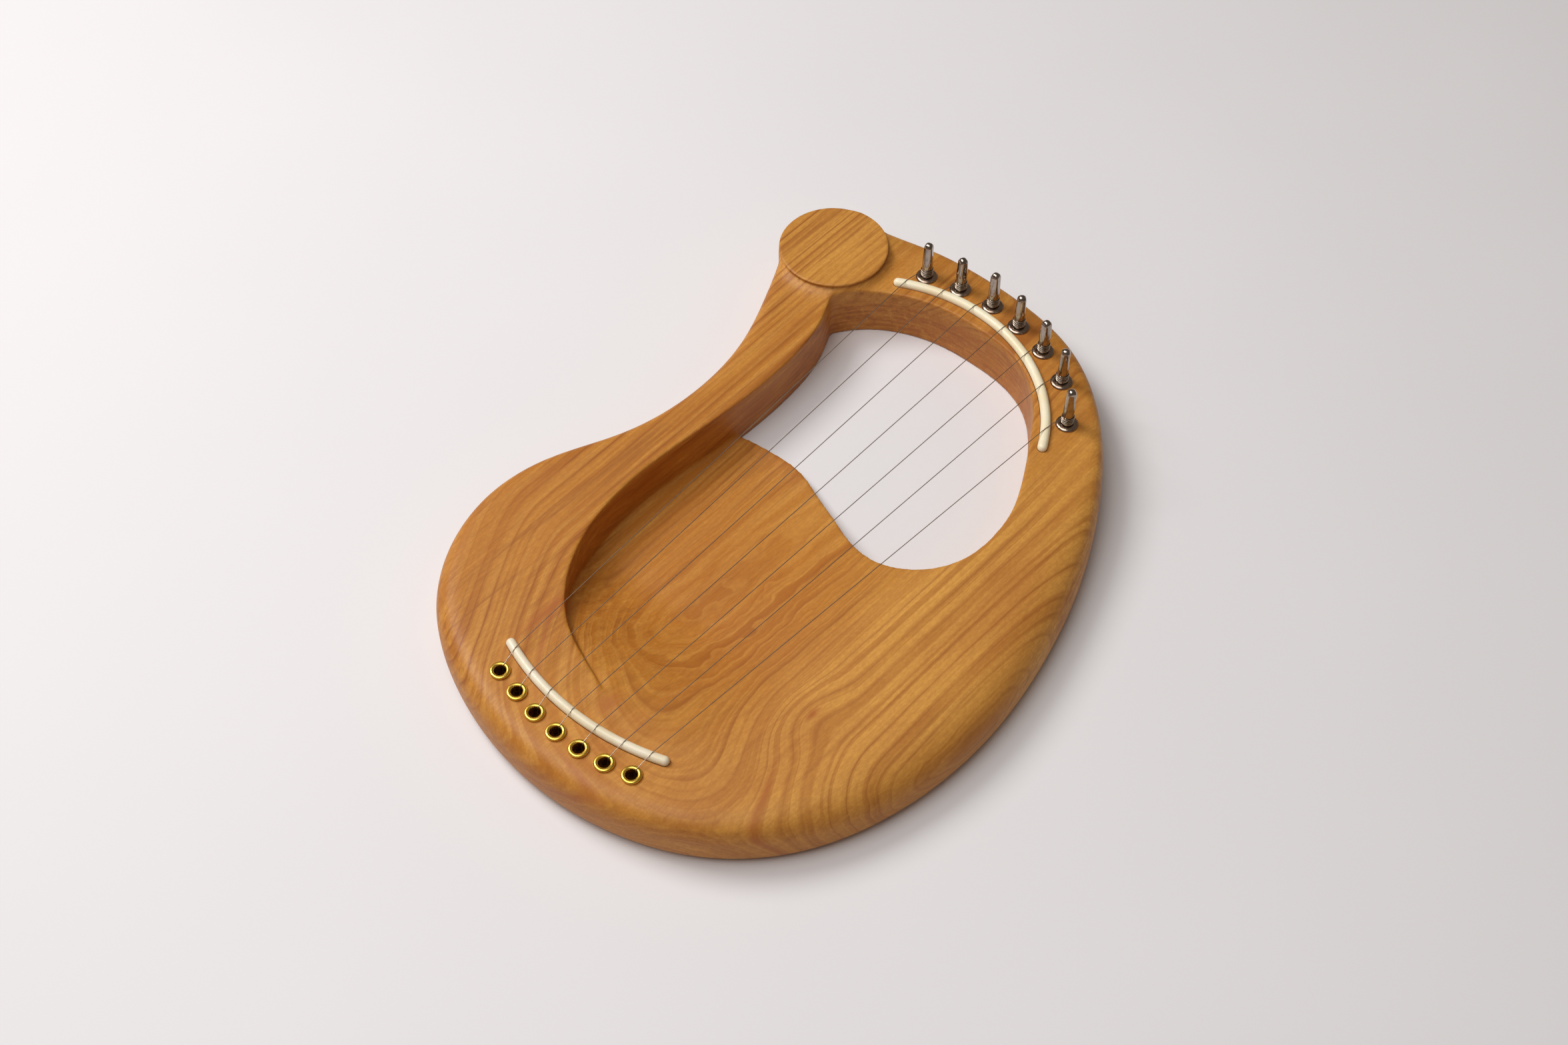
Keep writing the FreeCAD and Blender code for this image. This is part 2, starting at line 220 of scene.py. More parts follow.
class Nodes:
    """Short names for the shader nodes that the materials are built from."""

    def __init__(self, name):
        self.material = bpy.data.materials.new(name)
        self.material.use_nodes = True
        self.tree = self.material.node_tree
        self.shader = self.tree.nodes["Principled BSDF"]
        self.place = self.tree.nodes.new("ShaderNodeTexCoord").outputs["Object"]

    def put(self, socket, value):
        if isinstance(value, bpy.types.NodeSocket):
            self.tree.links.new(value, socket)
        else:
            socket.default_value = value

    def set(self, **values):
        for name, value in values.items():
            self.put(self.shader.inputs[name.replace("_", " ")], value)

    def math(self, operation, a, b=0.0, clamp=False):
        node = self.tree.nodes.new("ShaderNodeMath")
        node.operation = operation
        node.use_clamp = clamp
        for socket, value in zip(node.inputs, (a, b)):
            self.put(socket, value)
        return node.outputs[0]

    def plus(self, a, b):
        return self.math("ADD", a, b)

    def minus(self, a, b):
        return self.math("SUBTRACT", a, b)

    def times(self, a, b):
        return self.math("MULTIPLY", a, b)

    def vector(self, operation, a, b):
        node = self.tree.nodes.new("ShaderNodeVectorMath")
        node.operation = operation
        self.put(node.inputs[0], a)
        self.put(node.inputs[1], b)
        return node.outputs[0]

    def split(self, vector):
        node = self.tree.nodes.new("ShaderNodeSeparateXYZ")
        self.put(node.inputs[0], vector)
        return node.outputs[0], node.outputs[1], node.outputs[2]

    def join(self, x, y, z):
        node = self.tree.nodes.new("ShaderNodeCombineXYZ")
        for socket, value in zip(node.inputs, (x, y, z)):
            self.put(socket, value)
        return node.outputs[0]

    def noise(self, vector, scale, detail=2.0, rough=0.5, dimensions="3D", along=None):
        node = self.tree.nodes.new("ShaderNodeTexNoise")
        node.noise_dimensions = dimensions
        if vector is not None:
            self.put(node.inputs["Vector"], vector)
        if along is not None:
            self.put(node.inputs["W"], along)
        self.put(node.inputs["Scale"], scale)
        self.put(node.inputs["Detail"], detail)
        self.put(node.inputs["Roughness"], rough)
        return node.outputs["Fac"], node.outputs["Color"]

    def ramp(self, factor, stops):
        """A grey level for a factor; stops is a list of (factor, grey)."""
        node = self.tree.nodes.new("ShaderNodeValToRGB")
        node.color_ramp.interpolation = "EASE"
        ramp = node.color_ramp.elements
        for place, _ in stops[2:]:
            ramp.new(place)
        for element, (place, grey) in zip(ramp, stops):
            element.position = place
            element.color = (grey, grey, grey, 1.0)
        self.put(node.inputs[0], factor)
        return node.outputs[0]

    def range(self, value, low, high, to_low=0.0, to_high=1.0):
        """Goes smoothly from to_low to to_high while the value goes from low to high."""
        node = self.tree.nodes.new("ShaderNodeMapRange")
        node.interpolation_type = "SMOOTHSTEP"
        self.put(node.inputs["Value"], value)
        for name, bound in (("From Min", low), ("From Max", high), ("To Min", to_low), ("To Max", to_high)):
            self.put(node.inputs[name], bound)
        return node.outputs["Result"]

    def mix(self, factor, a, b):
        node = self.tree.nodes.new("ShaderNodeMix")
        node.data_type = "RGBA"
        self.put(node.inputs["Factor"], factor)
        self.put(node.inputs["A"], a if isinstance(a, bpy.types.NodeSocket) else (*a, 1.0))
        self.put(node.inputs["B"], b if isinstance(b, bpy.types.NodeSocket) else (*b, 1.0))
        return node.outputs["Result"]

    def bump(self, height, distance, strength=1.0):
        node = self.tree.nodes.new("ShaderNodeBump")
        self.put(node.inputs["Height"], height)
        self.put(node.inputs["Distance"], distance)
        self.put(node.inputs["Strength"], strength)
        self.put(self.shader.inputs["Normal"], node.outputs[0])


RING_WIDTH = 3.0 * MM
PITH_X, PITH_DEPTH = 2 * MM, 48 * MM
HONEY, PALE = (0.515, 0.195, 0.022), (0.720, 0.350, 0.068)
BROWN, RED = (0.300, 0.090, 0.014), (0.400, 0.112, 0.020)


class Wood(Nodes):
    """Nodes for the wood, with the parts of the body that differ in look."""

    def __init__(self):
        super().__init__("oiled_wood")
        self.x, self.y, self.z = self.split(self.place)
        # The hollow's floor below the face: the rings ripple there, and it carries painted shade that browns
        # it the deeper it goes.
        self.carved = self.times(self.range(self.z, FACE - 8 * MM, FACE - 1 * MM, 1.0, 0.0),
                                 self.range(self.y, -30 * MM, 20 * MM, 1.0, 0.0))
        # The walls of the opening below the face, most where deepest: they carry painted shade with streaks,
        # and fewer year lines.
        deep = self.range(self.z, 14 * MM, FACE - 2 * MM, 1.0, 0.0)
        self.wall = self.times(deep, self.range(self.y, 15 * MM, 45 * MM))
        self.plain = self.math("SUBTRACT", 1.0, self.times(self.patch(6, -137, 68, 40), 1.1), clamp=True)

    def patch(self, centre_x, centre_y, wide, long):
        """1 at a place on the face, fading to 0 at the edge of an oval round it; in millimetres."""
        from_x = self.math("DIVIDE", self.minus(self.x, centre_x * MM), wide * MM)
        from_y = self.math("DIVIDE", self.minus(self.y, centre_y * MM), long * MM)
        square = self.plus(self.times(from_x, from_x), self.times(from_y, from_y))
        return self.range(self.math("SQRT", square), 0.0, 1.0, 1.0, 0.0)

    def grain(self, scale, stretch, detail, rough, place=None):
        """Noise that is drawn out by 1 / stretch along one axis or more."""
        start = self.place if place is None else place
        return self.noise(self.vector("MULTIPLY", start, stretch), scale, detail, rough)


def bent_place(n):
    """Where the wood grew: the rings wander slowly and run nearly straight on the left of the face."""
    half = (0.5, 0.5, 0.5)
    slow = n.vector("SUBTRACT", n.grain(9.0, (1.0, 0.45, 1.0), 1.0, 0.5)[1], half)
    quick = n.vector("SUBTRACT", n.grain(60.0, (1.0, 0.22, 1.0), 2.0, 0.5)[1], half)
    wander = n.vector("ADD", n.vector("MULTIPLY", slow, (16 * MM, 0.0, 12 * MM)),
                      n.vector("MULTIPLY", quick, (2.2 * MM, 0.0, 2.2 * MM)))
    calm = n.range(n.x, -75 * MM, -15 * MM, 0.35, 1.0)
    return n.vector("ADD", n.place, n.vector("MULTIPLY", wander, n.join(calm, calm, calm)))


def pith_distance(n, place):
    """How far the wood is from the pith, which runs under the face along the strings."""
    across, _, height = n.split(place)
    # The hollow's floor cuts the rings at a shallow angle, so they ripple there.
    ripple = n.minus(n.grain(55.0, (1.0, 0.7, 1.0), 2.0, 0.5)[0], 0.5)
    ripple = n.times(n.times(ripple, n.carved), 13 * MM)
    # Towards the foot the pith dips away from the face, which closes the rings into arches.
    past = n.math("MAXIMUM", n.minus(-108 * MM, n.y), 0.0)
    dip = n.times(n.times(past, past), 13.0)
    swirl = n.times(n.patch(66, -76, 17, 30), 9 * MM)
    depth = n.plus(n.plus(height, PITH_DEPTH - FACE), n.plus(dip, swirl))
    depth = n.plus(depth, ripple)
    aside = n.range(n.y, -140 * MM, -70 * MM, 26 * MM, 0.0)
    across = n.minus(n.minus(across, PITH_X), aside)
    return n.math("SQRT", n.plus(n.times(across, across), n.times(depth, depth)))


def wood_base(n, rings, broad, blotches, layers):
    """The ground colour: broad bands, a paler belly and head, a browner lobe, and painted shade that browns
    the deep hollow and the walls of the opening.
    """
    bands = n.range(n.noise(None, 0.6, 3.0, 0.6, "1D", rings)[0], 0.30, 0.72)
    # Painted shade: the pale bands fade on the walls of the opening.
    bands = n.times(bands, n.range(n.wall, 0.0, 1.0, 1.0, 0.3))
    colour = n.mix(n.range(bands, 0.0, 1.0, 0.05, 0.75), HONEY, PALE)
    belly = n.times(n.range(n.x, 20 * MM, 75 * MM), n.range(broad, 0.35, 0.6, 0.55, 1.0))
    colour = n.mix(belly, colour, PALE)
    colour = n.mix(n.times(n.patch(72, -40, 40, 110), 0.55), colour, (0.860, 0.440, 0.090))
    colour = n.mix(n.times(n.patch(-96, 128, 60, 60), 0.9), colour, PALE)
    lobe = n.times(n.range(n.x, -90 * MM, -40 * MM, 1.0, 0.0),
                   n.range(n.y, 10 * MM, 60 * MM, 0.35, 0.0))
    # The lobe's brown is its own; on the hollow's floor the same brown is painted shade, stronger where the
    # floor is deeper.
    colour = n.mix(n.math("MAXIMUM", lobe, n.times(n.carved, 0.45)), colour, (0.465, 0.150, 0.012))
    colour = n.mix(n.range(blotches, 0.48, 0.78, 0.0, 0.45), colour, RED)
    # Painted shade on the walls of the opening: redder and browner where deep, in streaks.
    colour = n.mix(n.times(n.wall, n.range(layers, 0.35, 0.60, 0.10, 0.65)), colour, RED)
    return n.mix(n.times(n.wall, n.range(layers, 0.50, 0.68, 0.0, 0.45)), colour, BROWN)


def wood_years(n, colour, rings, place):
    """Darker years, then streaks, then the thin line that ends each year; years differ in strength."""
    uneven = n.grain(26.0, (1.0, 0.40, 1.0), 1.0, 0.5)[0]
    dark = n.range(n.noise(None, 0.55, 3.0, 0.65, "1D", n.plus(rings, 40.0))[0], 0.47, 0.60)
    dark = n.times(dark, n.times(n.plain, n.range(n.wall, 0.0, 1.0, 0.46, 0.1)))
    dark = n.times(dark, n.range(uneven, 0.36, 0.56, 0.35, 1.0))
    colour = n.mix(dark, colour, (0.385, 0.118, 0.014))

    streaks = n.grain(330.0, (1.0, 0.03, 1.0), 3.0, 0.65, place)[0]
    streaky = n.times(n.range(n.x, -60 * MM, 0.0, 0.62, 0.30), n.plain)
    colour = n.mix(n.times(n.range(streaks, 0.50, 0.72), streaky), colour, BROWN)
    colour = n.mix(n.times(n.range(streaks, 0.28, 0.46, 1.0, 0.0), streaky), colour, PALE)

    year = n.math("FRACT", rings)
    line = n.ramp(year, [(0.0, 0.0), (0.55, 0.10), (0.87, 1.0), (1.0, 0.0)])
    strength = n.noise(None, 1.0, 1.0, 0.5, "1D", n.plus(n.math("FLOOR", rings), 0.37))[0]
    line = n.times(line, n.range(strength, 0.34, 0.70, 0.10, 1.0))
    line = n.times(line, n.plain)
    line = n.times(line, n.range(uneven, 0.36, 0.60, 0.15, 1.0))
    line = n.times(line, n.range(n.wall, 0.0, 1.0, 1.0, 0.1))
    line = n.times(line, n.range(n.carved, 0.0, 1.0, 1.0, 0.55))
    colour = n.mix(n.times(line, n.range(n.x, -70 * MM, -20 * MM, 0.85, 0.52)), colour, BROWN)

    edge = n.ramp(year, [(0.0, 1.0), (0.35, 0.0), (0.90, 0.0), (1.0, 1.0)])
    light = n.times(n.times(edge, n.carved), n.range(uneven, 0.40, 0.58, 0.0, 0.32))
    return n.mix(light, colour, PALE)


def wood_flaws(n, colour, reach, broad, blotches):
    """One reddish ring round the foot, a reddish streak beside the hollow's end, and small knots."""
    off_ring = n.math("ABSOLUTE", n.minus(reach, 77 * MM))
    ring = n.times(n.range(off_ring, 0.4 * MM, 2.2 * MM, 1.0, 0.0),
                   n.range(n.y, -112 * MM, -96 * MM, 1.0, 0.0))
    colour = n.mix(n.times(ring, n.range(blotches, 0.35, 0.6, 0.25, 0.6)), colour, RED)
    streak = n.times(n.patch(-47, -106, 6, 30), n.range(broad, 0.40, 0.55, 0.5, 1.0))
    colour = n.mix(n.times(streak, 0.75), colour, RED)
    knots = ((3, -124, 7, 9, 0.6), (67, -74, 2.2, 6, 0.9), (-6, -108, 1.2, 3, 0.6))
    for knot_x, knot_y, wide, long, dark in knots:
        colour = n.mix(n.times(n.patch(knot_x, knot_y, wide, long), dark), colour, RED)
    return colour


def wood_material():
    """Oiled fruitwood: growth rings, fibres and pores, cut through wherever the body is shaped."""
    n = Wood()
    place = bent_place(n)
    reach = pith_distance(n, place)
    rings = n.math("DIVIDE", reach, RING_WIDTH)
    fibres = n.grain(1500.0, (1.0, 0.035, 1.0), 3.0, 0.6, place)[0]
    flecks = n.grain(420.0, (1.0, 0.10, 1.0), 2.0, 0.6, place)[0]
    layers = n.grain(700.0, (0.08, 0.08, 1.0), 3.0, 0.6, place)[0]
    blotches = n.grain(20.0, (1.0, 0.5, 1.0), 3.0, 0.55)[0]
    broad = n.grain(30.0, (1.0, 0.35, 1.0), 2.0, 0.5)[0]
    pores = n.grain(950.0, (1.0, 0.45, 1.0), 3.0, 0.7)[0]

    colour = wood_base(n, rings, broad, blotches, layers)
    colour = wood_years(n, colour, rings, place)
    colour = n.mix(n.range(fibres, 0.35, 0.65, 0.16, 0.0), colour, BROWN)
    colour = n.mix(n.range(flecks, 0.40, 0.75, 0.0, 0.14), colour, PALE)
    colour = n.mix(n.range(pores, 0.38, 0.66, 0.22, 0.0), colour, BROWN)
    colour = wood_flaws(n, colour, reach, broad, blotches)
    n.set(Base_Color=colour, Roughness=n.range(fibres, 0.3, 0.7, 0.52, 0.44), IOR=1.45)
    n.set(Specular_IOR_Level=0.38)
    n.bump(n.plus(fibres, n.times(flecks, 0.5)), 0.02 * MM, 0.5)
    return n.material


def ivory_material():
    """Smooth cream rods with faint clouds; the one at the pins has yellowed more."""
    n = Nodes("ivory_rod")
    clouds = n.noise(n.place, 70.0, 3.0, 0.6)[0]
    specks = n.noise(n.place, 900.0, 2.0, 0.6)[0]
    warm = n.range(n.split(n.place)[1], -50 * MM, 60 * MM)
    fresh = n.mix(n.range(clouds, 0.35, 0.70), (0.89, 0.80, 0.61), (0.83, 0.72, 0.50))
    yellowed = n.mix(n.range(clouds, 0.35, 0.70), (0.98, 0.89, 0.66), (0.93, 0.80, 0.52))
    colour = n.mix(warm, fresh, yellowed)
    colour = n.mix(n.range(specks, 0.55, 0.80, 0.0, 0.14), colour, (0.55, 0.43, 0.26))
    n.set(Base_Color=colour, Roughness=n.range(specks, 0.3, 0.7, 0.30, 0.42), IOR=1.5)
    n.set(Subsurface_Weight=0.12, Subsurface_Scale=0.001)
    n.bump(n.plus(clouds, n.times(specks, 0.2)), 0.03 * MM, 0.4)
    return n.material


def nickel_material(name, bright, dull, smoothest, roughest):
    """Nickel plate in the colours given, with faint wear and fingermarks."""
    n = Nodes(name)
    marks = n.noise(n.place, 350.0, 4.0, 0.65)[0]
    colour = n.mix(n.range(marks, 0.35, 0.75), bright, dull)
    n.set(Base_Color=colour, Metallic=1.0, Roughness=n.range(marks, 0.3, 0.8, smoothest, roughest))
    n.bump(marks, 0.01 * MM, 0.4)
    return n.material


def steel_material():
    """Drawn steel wire with fine lengthwise marks."""
    n = Nodes("steel_string")
    marks = n.noise(n.vector("MULTIPLY", n.place, (1.0, 0.05, 1.0)), 4000.0, 2.0, 0.6)[0]
    patches = n.noise(n.place, 60.0, 2.0, 0.5)[0]
    colour = n.mix(n.range(marks, 0.35, 0.70), (0.46, 0.39, 0.32), (0.32, 0.26, 0.20))
    colour = n.mix(n.range(patches, 0.45, 0.75, 0.0, 0.5), colour, (0.33, 0.25, 0.18))
    n.set(Base_Color=colour, Metallic=1.0, Roughness=n.range(marks, 0.3, 0.7, 0.30, 0.45))
    return n.material


def brass_material():
    """Bright lacquered brass, duller in cloudy patches, with painted shade that turns it nearly black inside
    the bores, below the face.
    """
    n = Nodes("polished_brass")
    clouds = n.noise(n.place, 260.0, 3.0, 0.6)[0]
    fine = n.noise(n.place, 2600.0, 2.0, 0.6)[0]
    colour = n.mix(n.range(clouds, 0.35, 0.75), (0.97, 0.64, 0.11), (0.80, 0.47, 0.07))
    # Painted shade: below the face the brass turns nearly black, standing for the dark inside of the bores.
    inside = n.range(n.split(n.place)[2], FACE - 1.6 * MM, FACE + 0.3 * MM, 0.92, 0.0)
    colour = n.mix(inside, colour, (0.07, 0.035, 0.012))
    n.set(Base_Color=colour, Metallic=1.0, Roughness=n.range(clouds, 0.3, 0.7, 0.22, 0.34))
    n.bump(fine, 0.01 * MM, 0.3)
    return n.material


WOOD, IVORY = wood_material(), ivory_material()
# Painted reflection: the pins' nickel is given dark, brownish colours for the dark room and the wood that it
# reflects.
NICKEL = nickel_material("nickel_plate", (0.42, 0.36, 0.31), (0.29, 0.24, 0.20), 0.08, 0.20)
# Painted reflection: the ferrules' nickel is browner still, for the wood that the domed flanges reflect; its
# rougher finish stands for wear.
WORN_NICKEL_PAINTED_REFLECTION = nickel_material("worn_nickel_painted_reflection", (0.42, 0.32, 0.25), (0.27, 0.19, 0.14), 0.16, 0.30)
COILED = nickel_material("coiled_steel", (0.54, 0.47, 0.39), (0.36, 0.30, 0.24), 0.18, 0.30)
STEEL, BRASS = steel_material(), brass_material()


def finish_piece(piece, material, slot, body, *nodes):
    piece.data.materials.clear()
    piece.data.materials.append(material)
    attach(piece, body)
    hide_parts(*nodes)


# ---- The carved body ----

VOXEL = 0.6 * MM
WALL_END_X = [-37.5 * MM, -18 * MM, -2.5 * MM]  # the last stretch of the hollow's left wall
WALL_END_Y = [-106.8 * MM, -115.6 * MM, -121 * MM]


def modified(piece, name, kind, **settings):
    """A new mesh: the piece's own after one modifier."""
    modifier = piece.modifiers.new(name, kind)
    for key, value in settings.items():
        setattr(modifier, key, value)
    bpy.context.view_layer.update()
    shape = piece.evaluated_get(bpy.context.evaluated_depsgraph_get())
    return bpy.data.meshes.new_from_object(shape)


def points_of(mesh):
    points = np.empty(len(mesh.vertices) * 3)
    mesh.vertices.foreach_get("co", points)
    return points.reshape(-1, 3)


def put_points(mesh, points):
    mesh.vertices.foreach_set("co", points.ravel())
    mesh.update()


def relax(mesh, weight, rounds):
    """Moves each point towards the middle of its neighbours, by its weight."""
    points = points_of(mesh)
    count = len(points)
    edges = np.empty(len(mesh.edges) * 2, dtype=np.int64)
    mesh.edges.foreach_get("vertices", edges)
    a, b = edges.reshape(-1, 2).T
    share = weight(points)[:, None] * 0.5
    degree = np.bincount(np.concatenate([a, b]), minlength=count)[:, None]
    for _ in range(rounds):
        total = np.empty_like(points)
        for axis in range(3):
            total[:, axis] = np.bincount(a, points[b, axis], count) + np.bincount(b, points[a, axis], count)
        points += (total / degree - points) * share
    put_points(mesh, points)


def everywhere(points):
    return np.ones(len(points))


def near_hollow_rim(points):
    """1 along the line where the hollow's floor meets the face, on the right and at the foot."""
    x, y, z = points.T
    high = step(z, FACE - 4 * MM, FACE - 2 * MM)
    right = step(x, 25 * MM, 45 * MM) * step(-x, -85 * MM, -78 * MM) * step(-y, -5 * MM, 5 * MM)
    foot = step(x, -8 * MM, 12 * MM) * step(-y, 90 * MM, 105 * MM) * step(-x, -85 * MM, -78 * MM)
    inside = step(y, -140 * MM, -134 * MM)
    return high * np.maximum(right, foot) * inside


def round_head(points):
    """Distance and direction in degrees from the middle of the head."""
    from_x, from_y = points[:, 0] - HEAD_CENTRE.x, points[:, 1] - HEAD_CENTRE.y
    return np.hypot(from_x, from_y), np.degrees(np.arctan2(from_y, from_x))


def arch_side(angle):
    """1 on the side of the head where the arch joins it."""
    return step(angle, 28, 58) * step(-angle, -125, -100)


def raise_beside_head(mesh):
    """Lets the face rise in a small cove to the head, and the arch's outer side in a long curve."""
    points = points_of(mesh)
    z = points[:, 2]
    away, angle = round_head(points)
    beyond = np.maximum(away - HEAD_RADIUS, 0)
    slope = 0.92 * HEAD_RISE * np.exp(-beyond / (9.5 * MM)) * arch_side(angle)
    cove = 0.46 * HEAD_RISE * np.exp(-beyond / (3.0 * MM))
    rise = np.maximum(slope, cove) * step(away, HEAD_RADIUS - 0.9 * MM, HEAD_RADIUS - 0.3 * MM)
    share = np.where(z > FACE, np.clip(1 - (z - FACE) / HEAD_RISE, 0, 1), step(z, 8 * MM, FACE))
    points[:, 2] += rise * share
    put_points(mesh, points)


def undercut_head(mesh):
    """A shallow groove under the head's rim, except where the arch rises to it."""
    points = points_of(mesh)
    away, angle = round_head(points)
    level = 1 - np.abs(points[:, 2] - FACE - 3.1 * MM) / (1.5 * MM)
    beyond = away - HEAD_RADIUS
    near = step(beyond, -2.5 * MM, -1 * MM) * step(-beyond, -1.6 * MM, -0.6 * MM)
    inward = 0.9 * MM * step(level, 0, 1) * near * (1 - arch_side(angle))
    shrink = 1 - inward / away
    points[:, 0] = HEAD_CENTRE.x + (points[:, 0] - HEAD_CENTRE.x) * shrink
    points[:, 1] = HEAD_CENTRE.y + (points[:, 1] - HEAD_CENTRE.y) * shrink
    put_points(mesh, points)


def sharpen_wall_end(mesh):
    """Keeps the last stretch of the hollow's wall steep, where the floor has almost reached the face."""
    points = points_of(mesh)
    x, y, z = points.T
    beside = (y - np.interp(x, WALL_END_X, WALL_END_Y)) * 0.92
    stretch = step(x, -40 * MM, -24 * MM) * step(-x, 1 * MM, 6 * MM)
    push = 1.1 * MM * step(beside, -0.2 * MM, 0.5 * MM) * np.exp(-np.maximum(beside, 0) / (5 * MM))
    points[:, 2] -= push * stretch * (z > FACE - 10 * MM)
    put_points(mesh, points)


def fillers():
    """Plugs for the grooves and drilled holes, flush with the face and the back."""
    solids = []
    for rod in (BRIDGE, NUT):
        start, end = rod["angles"]
        extra = math.degrees(3 * MM / rod["arc"])
        half = 2.7 * MM
        rings = []
        stretches = 40
        for i in range(stretches + 1):
            angle = start - extra + (end - start + 2 * extra) * i / stretches
            low, high = FACE - 5 * MM, FACE
            rings.append([arc_point(rod, angle, low, -half), arc_point(rod, angle, low, half),
                          arc_point(rod, angle, high, half), arc_point(rod, angle, high, -half)])
        solids.append(loft([[tuple(p) for p in ring] for ring in rings]))
    for n in STRINGS:
        pin, eye = centre_of(f"pin_ferrule_{n}"), centre_of(f"eyelet_{n}")
        solids.append(lathe([(4.2 * MM, 2 * MM), (4.2 * MM, FACE)], pin, 24))
        solids.append(lathe([(3.6 * MM, 0.0), (3.6 * MM, FACE)], eye, 24))
    return solids


def cutters():
    """The grooves for the rods and the drilled holes, cut crisp after the wood is smoothed."""
    above = FACE + 3 * MM
    solids = [rod_solid(rod, GROOVE_GAP) for rod in (BRIDGE, NUT)]
    for n in STRINGS:
        pin, eye = centre_of(f"pin_ferrule_{n}"), centre_of(f"eyelet_{n}")
        pin_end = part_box(f"tuning_pin_{n}")[0].z - 0.4 * MM
        seat = FACE - 8.4 * MM
        solids.append(lathe([(2.56 * MM, pin_end), (2.56 * MM, seat), (3.5 * MM, seat),
                             (3.5 * MM, above)], pin, 32))
        seat = FACE - 7.4 * MM
        solids.append(lathe([(3 * MM, -3 * MM), (3 * MM, 6 * MM), (1 * MM, 6 * MM), (1 * MM, seat),
                             (2.9 * MM, seat), (2.9 * MM, above)], eye, 32))
    return solids


def carved_body():
    block = mesh_of("block", [], [])
    work = bmesh.new()
    work.from_mesh(NODES["body"].data)
    work.from_mesh(joined("plugs", fillers()))
    work.to_mesh(block)
    work.free()
    source = new_object("block", block)
    mesh = modified(source, "remesh", "REMESH", mode="VOXEL", voxel_size=VOXEL)
    bpy.data.objects.remove(source)
    raise_beside_head(mesh)
    relax(mesh, everywhere, 7)
    relax(mesh, near_hollow_rim, 80)
    undercut_head(mesh)
    sharpen_wall_end(mesh)
    relax(mesh, everywhere, 1)

    rough = new_object("rough", mesh)
    tools = new_object("tools", joined("tools", cutters()))
    cut = modified(rough, "cut", "BOOLEAN", operation="DIFFERENCE", object=tools, solver="MANIFOLD")
    for piece in (rough, tools):
        bpy.data.objects.remove(piece)
    smooth(cut, 38.0)
    piece = new_object("carved_body", cut)
    finish_piece(piece, WOOD, "wood", "root", "body")


# ---- Rods and metal fittings ----

def rods():
    for name, rod in (("bridge_rod", BRIDGE), ("nut_rod", NUT)):
        mesh = joined(name, [rod_solid(rod, 0.0, 32)])
        smooth(mesh, 60.0)
        finish_piece(new_object(name + "_ivory", mesh), IVORY, "ivory_rod", "root", name)


def ferrule(n):
    centre = centre_of(f"pin_ferrule_{n}")
    bore, barrel, flange, dome = 2.55 * MM, 3.5 * MM, 5.1 * MM, 1.3 * MM
    profile = [(bore, FACE - 8 * MM), (barrel, FACE - 8 * MM), (barrel, FACE), (flange - 0.15 * MM, FACE)]
    for i in range(13):
        a = math.radians(90.0 * i / 12)
        edge = flange - (flange - bore - 0.35 * MM) * (1 - math.cos(a))
        profile.append((edge, FACE + 0.12 * MM + (dome - 0.12 * MM) * math.sin(a) ** 0.9))
    profile += [(bore + 0.12 * MM, FACE + dome - 0.08 * MM), (bore, FACE + dome - 0.3 * MM)]
    mesh = joined(f"ferrule_{n}", [lathe_ring(profile, centre, 64)])
    smooth(mesh, 35.0)
    finish_piece(new_object(f"ferrule_{n}_plated", mesh), WORN_NICKEL_PAINTED_REFLECTION, "nickel", "root", f"pin_ferrule_{n}")


def eyelet(n):
    centre = centre_of(f"eyelet_{n}")
    bore, barrel = EYELET_BORE, 2.9 * MM
    bottom = FACE - 7 * MM
    profile = [(bore, bottom), (barrel, bottom), (barrel, FACE)]
    middle, half = (bore + LIP_EDGE) / 2, (LIP_EDGE - bore) / 2
    for i in range(25):
        a = math.radians(-90 + 270.0 * i / 24)
        profile.append((middle + half * math.cos(a), FACE + LIP_TOP / 2 * (1 + math.sin(a))))
    mesh = joined(f"eyelet_{n}", [lathe_ring(profile, centre, 64)])
    smooth(mesh, 40.0)
    finish_piece(new_object(f"eyelet_{n}_brass", mesh), BRASS, "brass", "root", f"eyelet_{n}")


PIN_TURN = [20, 65, 5, 40, 75, 30, 50]  # how far each square head is turned, in degrees
SQUARE_LOW, SQUARE_HIGH = 2.25 * MM, 2.05 * MM  # half width of the square, below and above
SQUARENESS = 3.4  # 2 would be a circle


def square_ring(centre, half, power, turn, z, sides=48):
    """A ring between a circle (power 2) and a square with rounded corners (higher powers)."""
    ring = []
    for j in range(sides):
        a = 2 * math.pi * j / sides
        c, s = math.cos(a), math.sin(a)
        reach = half / (abs(c) ** power + abs(s) ** power) ** (1 / power)
        ring.append((centre[0] + reach * math.cos(a + turn), centre[1] + reach * math.sin(a + turn), z))
    return ring


